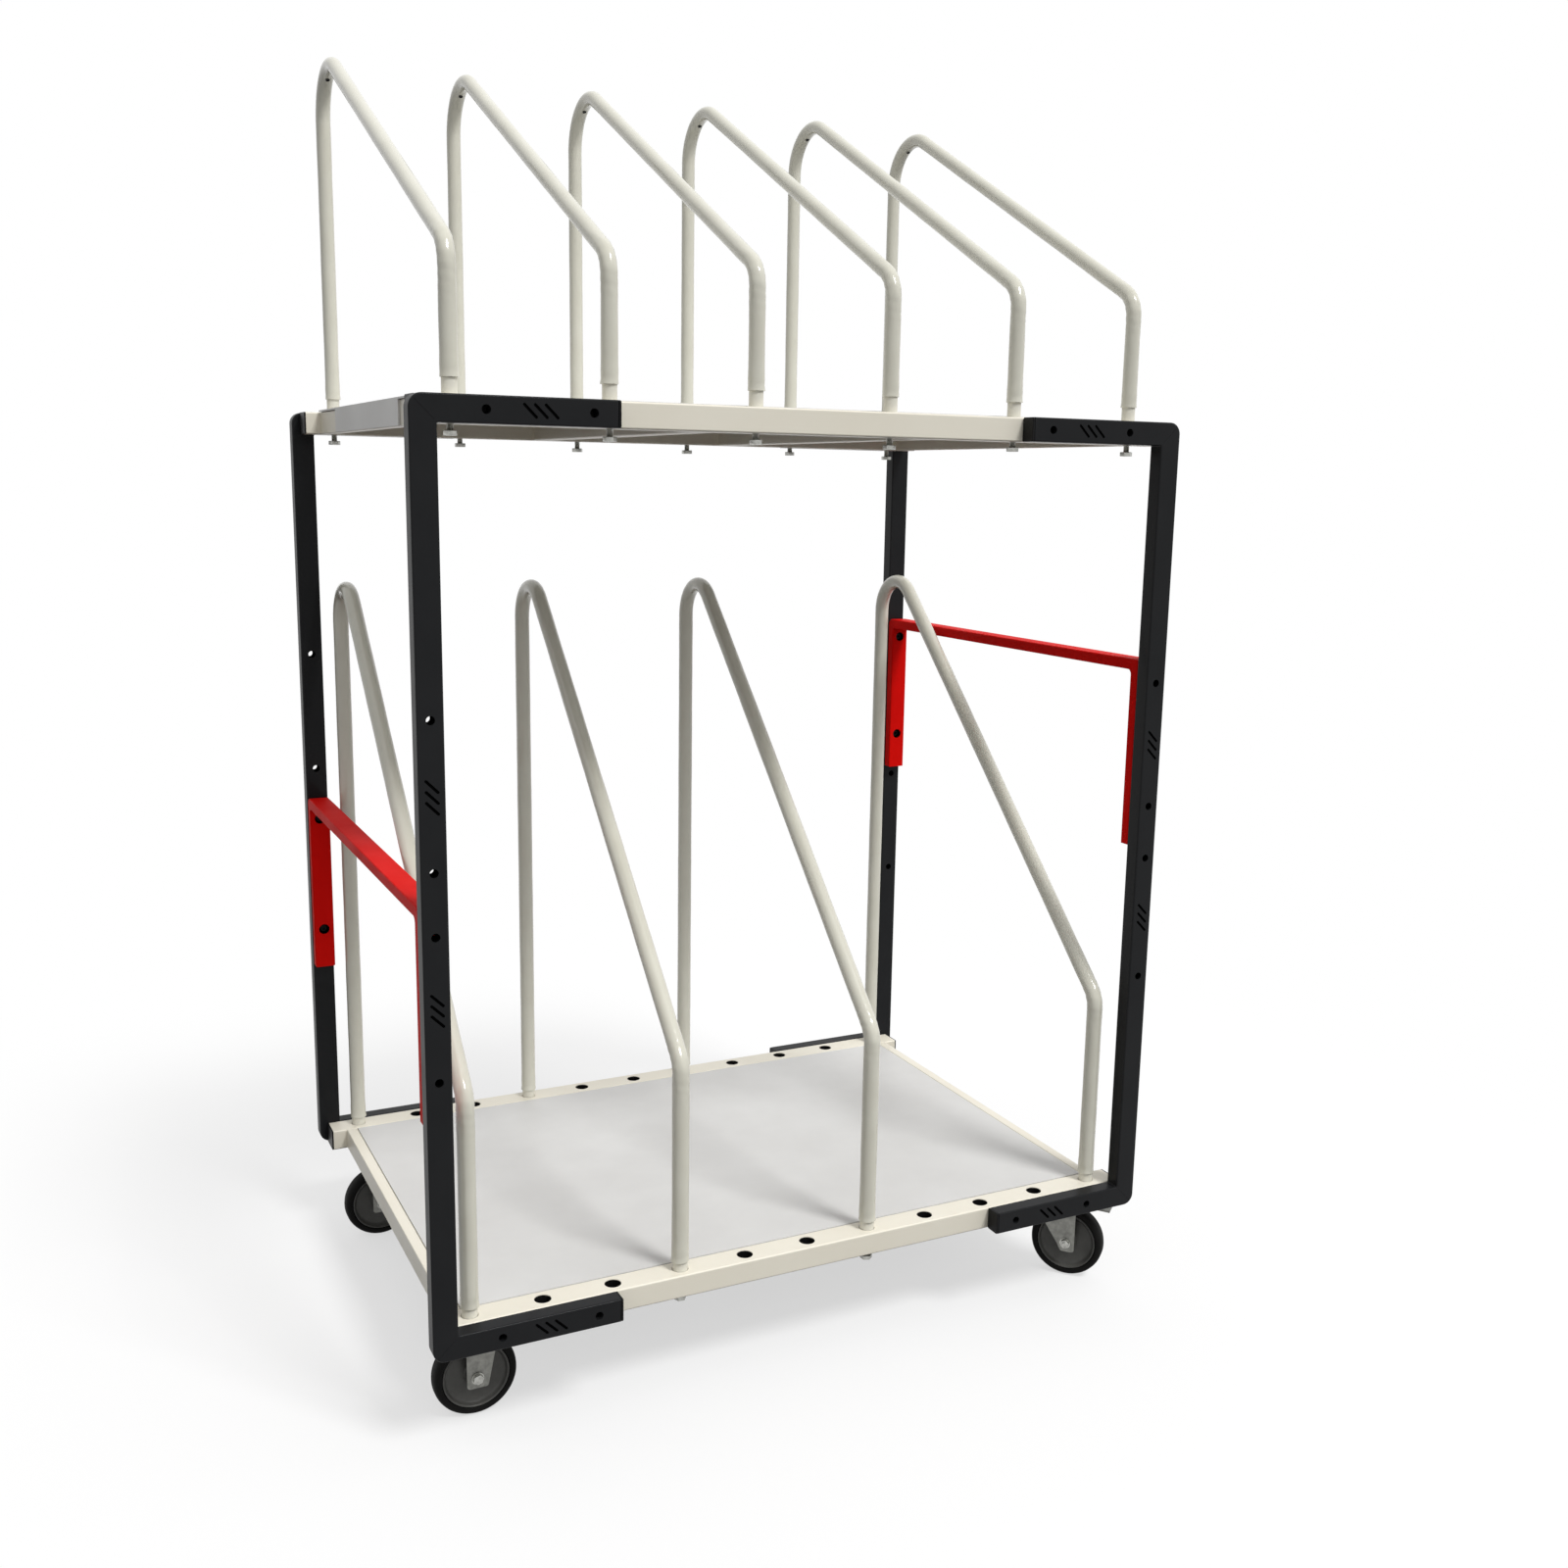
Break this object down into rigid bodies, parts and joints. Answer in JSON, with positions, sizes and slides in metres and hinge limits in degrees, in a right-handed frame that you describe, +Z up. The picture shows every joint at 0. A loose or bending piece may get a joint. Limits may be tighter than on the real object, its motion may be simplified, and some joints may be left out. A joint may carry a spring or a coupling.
{
  "type": "carton storage trolley",
  "caption": "Two-shelf carton storage trolley with C-shaped uprights, plug-in sloping divider hoops in socketed rails, bolted push handles, and fixed and braked swivel casters.",
  "frame": {"origin": "on the floor below the middle of the frame", "axes": "+X along the shelves to the right, -Y towards the low front of the hoops where the operator stands, +Z up"},
  "size_m": [1.35, 0.95, 2.241],
  "materials": {
    "anthracite_powder_coat": "satin powder coat",
    "cream_powder_coat": "satin powder coat",
    "grey_shelf_sheet": "matte coat",
    "white_steel_tube": "satin powder coat",
    "pvc_sleeve": "glossy",
    "red_powder_coat": "satin powder coat",
    "zinc_plate": "zinc plated",
    "grey_nylon": "matte",
    "black_rubber": "matte"
  },
  "bodies": {
    "chassis": {"front_left_upright": "anthracite_powder_coat", "front_right_upright": "anthracite_powder_coat", "rear_left_upright": "anthracite_powder_coat", "rear_right_upright": "anthracite_powder_coat", "lower_front_rail": "cream_powder_coat", "lower_rear_rail": "cream_powder_coat", "lower_left_side_rail": "cream_powder_coat", "lower_right_side_rail": "cream_powder_coat", "lower_left_cross_member": "cream_powder_coat", "lower_right_cross_member": "cream_powder_coat", "lower_panel": "grey_shelf_sheet", "upper_front_rail": "cream_powder_coat", "upper_rear_rail": "cream_powder_coat", "upper_left_side_rail": "cream_powder_coat", "upper_right_side_rail": "cream_powder_coat", "upper_left_cross_member": "cream_powder_coat", "upper_right_cross_member": "cream_powder_coat", "upper_panel": "grey_shelf_sheet", "lower_hoop_01": "white_steel_tube", "lower_hoop_04": "white_steel_tube", "lower_hoop_07": "white_steel_tube", "lower_hoop_11": "white_steel_tube", "upper_hoop_01": "white_steel_tube", "upper_hoop_03": "white_steel_tube", "upper_hoop_05": "white_steel_tube", "upper_hoop_07": "white_steel_tube", "upper_hoop_09": "white_steel_tube", "upper_hoop_11": "white_steel_tube", "lower_hoop_01_sleeve": "pvc_sleeve", "lower_hoop_04_sleeve": "pvc_sleeve", "lower_hoop_07_sleeve": "pvc_sleeve", "lower_hoop_11_sleeve": "pvc_sleeve", "upper_hoop_01_sleeve": "pvc_sleeve", "upper_hoop_03_sleeve": "pvc_sleeve", "upper_hoop_05_sleeve": "pvc_sleeve", "upper_hoop_07_sleeve": "pvc_sleeve", "upper_hoop_09_sleeve": "pvc_sleeve", "upper_hoop_11_sleeve": "pvc_sleeve", "left_handle": "red_powder_coat", "right_handle": "red_powder_coat", "front_left_caster_bracket": "zinc_plate", "front_left_caster_axle": "zinc_plate", "rear_left_caster_bracket": "zinc_plate", "rear_left_caster_axle": "zinc_plate", "front_right_caster_plate": "zinc_plate", "rear_right_caster_plate": "zinc_plate"},
    "front_left_wheel": {"front_left_caster_rim": "grey_nylon", "front_left_caster_tyre": "black_rubber"},
    "rear_left_wheel": {"rear_left_caster_rim": "grey_nylon", "rear_left_caster_tyre": "black_rubber"},
    "front_right_fork": {"front_right_caster_fork": "zinc_plate", "front_right_caster_axle": "zinc_plate"},
    "front_right_wheel": {"front_right_caster_rim": "grey_nylon", "front_right_caster_tyre": "black_rubber"},
    "front_right_pedal": {"front_right_caster_brake_pedal": "zinc_plate"},
    "rear_right_fork": {"rear_right_caster_fork": "zinc_plate", "rear_right_caster_axle": "zinc_plate"},
    "rear_right_wheel": {"rear_right_caster_rim": "grey_nylon", "rear_right_caster_tyre": "black_rubber"},
    "rear_right_pedal": {"rear_right_caster_brake_pedal": "zinc_plate"}
  },
  "joints": [
    {"name": "front_left_roll", "type": "hinge", "parent": "chassis", "child": "front_left_wheel", "pos_m": [-0.579, -0.35, 0.07], "axis": [0, 1, 0], "continuous": true},
    {"name": "rear_left_roll", "type": "hinge", "parent": "chassis", "child": "rear_left_wheel", "pos_m": [-0.579, 0.35, 0.07], "axis": [0, 1, 0], "continuous": true},
    {"name": "front_right_swivel", "type": "hinge", "parent": "chassis", "child": "front_right_fork", "pos_m": [0.579, -0.35, 0.157], "axis": [0, 0, 1], "continuous": true},
    {"name": "front_right_roll", "type": "hinge", "parent": "front_right_fork", "child": "front_right_wheel", "pos_m": [0.60196, -0.37641, 0.07], "axis": [0.7547, 0.6561, 0], "continuous": true},
    {"name": "front_right_brake", "type": "hinge", "parent": "front_right_fork", "child": "front_right_pedal", "pos_m": [0.59081, -0.36358, 0.148], "axis": [0.7547, 0.6561, 0], "range_deg": [0, 12]},
    {"name": "rear_right_swivel", "type": "hinge", "parent": "chassis", "child": "rear_right_fork", "pos_m": [0.579, 0.35, 0.157], "axis": [0, 0, 1], "continuous": true},
    {"name": "rear_right_roll", "type": "hinge", "parent": "rear_right_fork", "child": "rear_right_wheel", "pos_m": [0.60196, 0.32359, 0.07], "axis": [0.7547, 0.6561, 0], "continuous": true},
    {"name": "rear_right_brake", "type": "hinge", "parent": "rear_right_fork", "child": "rear_right_pedal", "pos_m": [0.59081, 0.33642, 0.148], "axis": [0.7547, 0.6561, 0], "range_deg": [0, 12]}
  ]
}
